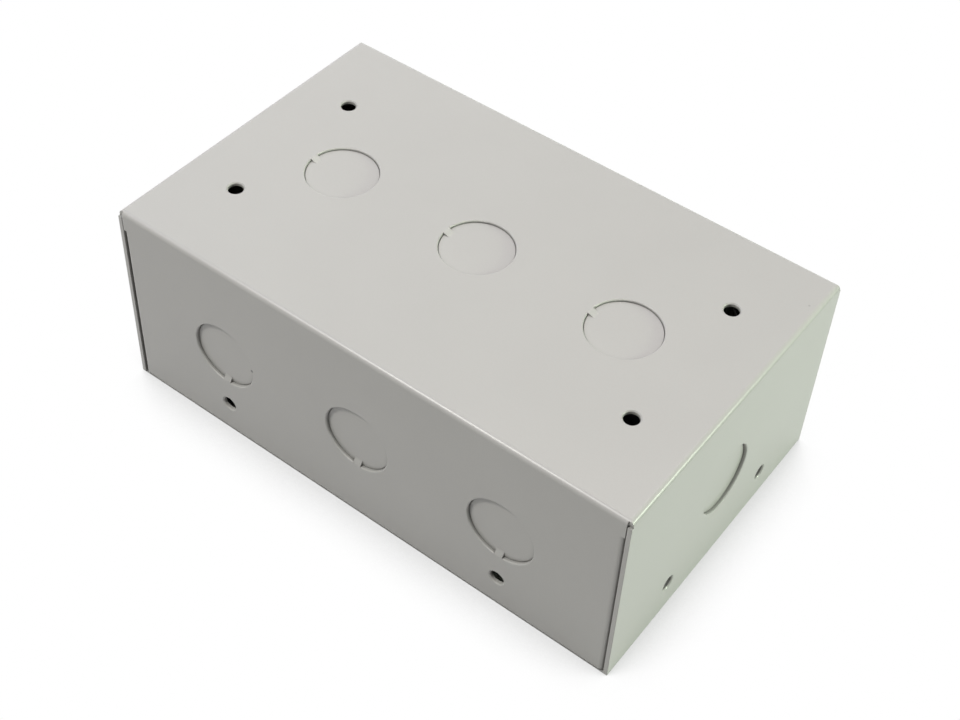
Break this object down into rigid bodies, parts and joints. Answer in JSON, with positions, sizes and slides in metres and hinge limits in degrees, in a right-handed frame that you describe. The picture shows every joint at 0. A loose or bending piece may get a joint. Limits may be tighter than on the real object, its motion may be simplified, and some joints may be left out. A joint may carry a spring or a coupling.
{
  "type": "surface back box",
  "caption": "Shallow rectangular folded steel box with one open face, screw holes and round conduit knockouts in its back and sides.",
  "frame": {"origin": "middle of the open front, in the plane that the box lies on", "axes": "+X along the box's length, +Y across it, +Z out of the back panel, which faces up while the box lies on its open front"},
  "size_m": [0.162, 0.098, 0.062],
  "materials": {
    "painted_sheet": "satin powder coat, pale warm grey"
  },
  "bodies": {
    "root": {"back_box": "painted_sheet"}
  },
  "joints": []
}
